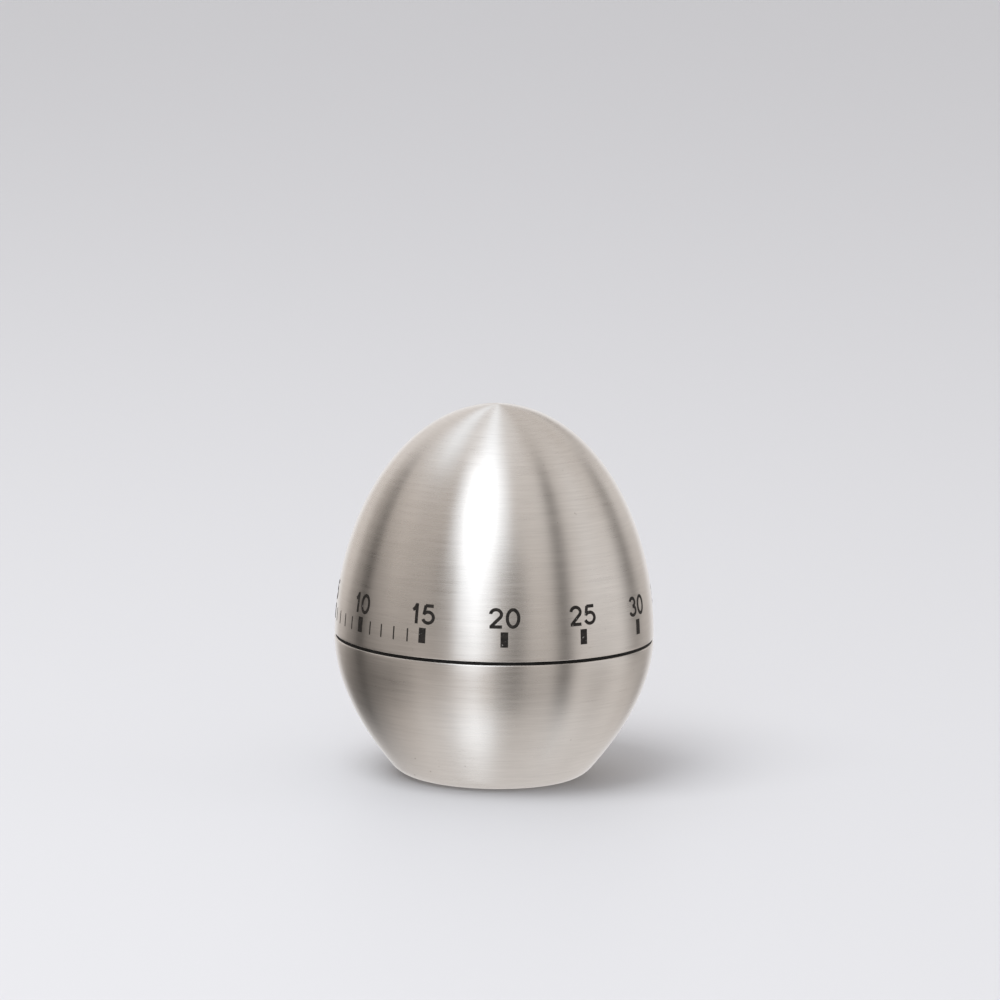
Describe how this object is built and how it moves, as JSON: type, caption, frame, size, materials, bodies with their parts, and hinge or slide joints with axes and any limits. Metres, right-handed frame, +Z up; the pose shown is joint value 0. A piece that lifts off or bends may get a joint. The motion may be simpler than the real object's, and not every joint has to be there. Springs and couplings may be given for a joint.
{
  "type": "kitchen timer",
  "caption": "Egg-shaped clockwork kitchen timer: a brushed steel upper half that turns as the minute dial over a fixed steel base holding the movement and bell.",
  "frame": {"origin": "centre of the flat face the timer stands on", "axes": "+Z up along the axis the dial turns on, -Y is the reading side, where the index mark is"},
  "size_m": [0.064, 0.064, 0.075],
  "materials": {
    "shell_steel": "brushed around the axis",
    "print_black": "matte screen print",
    "ring_black": "satin moulded",
    "cover_black": "fine moulded texture",
    "liner_black": "satin moulded",
    "housing_grey": "satin moulded",
    "brass": "rolled and blanked",
    "plate_steel": "zinc plated",
    "spring_steel": "blued spring steel",
    "turned_steel": "turned",
    "bell_chrome": "bright plated"
  },
  "bodies": {
    "base": {"lower_shell": "shell_steel", "seam_ring": "ring_black", "housing": "housing_grey", "base_cover": "cover_black", "cover_screw_1": "turned_steel", "cover_screw_2": "turned_steel", "cover_screw_3": "turned_steel", "bottom_plate": "plate_steel", "top_plate": "plate_steel", "pillar_1": "brass", "pillar_2": "brass", "pillar_3": "brass", "pillar_nut_1": "turned_steel", "pillar_nut_2": "turned_steel", "pillar_nut_3": "turned_steel", "plate_screw_1": "turned_steel", "plate_screw_2": "turned_steel", "plate_screw_3": "turned_steel", "bell_post": "turned_steel", "bell": "bell_chrome", "bell_screw": "turned_steel", "mainspring": "spring_steel", "spring_stud": "turned_steel", "stop_pin": "turned_steel", "hammer_spring": "spring_steel", "trip_stud": "turned_steel", "trip_spring": "spring_steel"},
    "dial": {"upper_shell": "shell_steel", "dial_liner": "liner_black", "winding_arbor": "turned_steel", "arbor_clip": "spring_steel", "alarm_cam": "plate_steel", "stop_arm": "plate_steel", "clutch_spring": "spring_steel", "clutch_collar": "brass"},
    "main_wheel_set": {"main_wheel": "brass"},
    "second_wheel_set": {"second_arbor": "turned_steel", "second_wheel": "brass", "strike_star": "plate_steel"},
    "third_wheel_set": {"third_arbor": "turned_steel", "third_wheel": "brass"},
    "escape_wheel_set": {"escape_arbor": "turned_steel", "escape_wheel": "brass"},
    "balance": {"balance_staff": "turned_steel", "pallet_anchor": "plate_steel", "balance_bar": "plate_steel"},
    "hammer": {"hammer_arbor": "turned_steel", "hammer_finger": "plate_steel", "strike_tail": "plate_steel", "hammer_arm": "plate_steel", "hammer_head": "brass"},
    "trip": {"trip_lever": "plate_steel"}
  },
  "joints": [
    {"name": "dial_turn", "type": "hinge", "parent": "base", "child": "dial", "pos_m": [0, 0, 0], "axis": [0, 0, -1], "range_deg": [0, 350], "deforming": ["mainspring"]},
    {"name": "third_turn", "type": "hinge", "parent": "base", "child": "third_wheel_set", "pos_m": [0.01353, 0.00945, 0], "axis": [0, 0, 1], "continuous": true},
    {"name": "main_turn", "type": "hinge", "parent": "base", "child": "main_wheel_set", "pos_m": [0, 0, 0], "axis": [0, 0, 1], "continuous": true},
    {"name": "second_turn", "type": "hinge", "parent": "base", "child": "second_wheel_set", "pos_m": [0.01351, 0, 0], "axis": [0, 0, 1], "continuous": true},
    {"name": "escape_turn", "type": "hinge", "parent": "base", "child": "escape_wheel_set", "pos_m": [0.008, 0.015, 0], "axis": [0, 0, 1], "continuous": true},
    {"name": "balance_swing", "type": "hinge", "parent": "base", "child": "balance", "pos_m": [0.00298, 0.01724, 0], "axis": [0, 0, 1], "range_deg": [-8, 8]},
    {"name": "hammer_swing", "type": "hinge", "parent": "base", "child": "hammer", "pos_m": [0.01319, -0.0115, 0], "axis": [0, 0, 1], "range_deg": [-3, 8], "stiffness_Nm_per_rad": 0.002, "deforming": ["hammer_spring"]},
    {"name": "trip_swing", "type": "hinge", "parent": "base", "child": "trip", "pos_m": [0.00234, -0.01329, 0], "axis": [0, 0, 1], "range_deg": [-4, 0], "stiffness_Nm_per_rad": 0.0002, "deforming": ["trip_spring"]}
  ],
  "couplings": [
    {"joint": "main_turn", "follows": "third_turn", "ratio": 0.016667},
    {"joint": "second_turn", "follows": "third_turn", "ratio": -0.125},
    {"joint": "escape_turn", "follows": "third_turn", "ratio": -8}
  ]
}
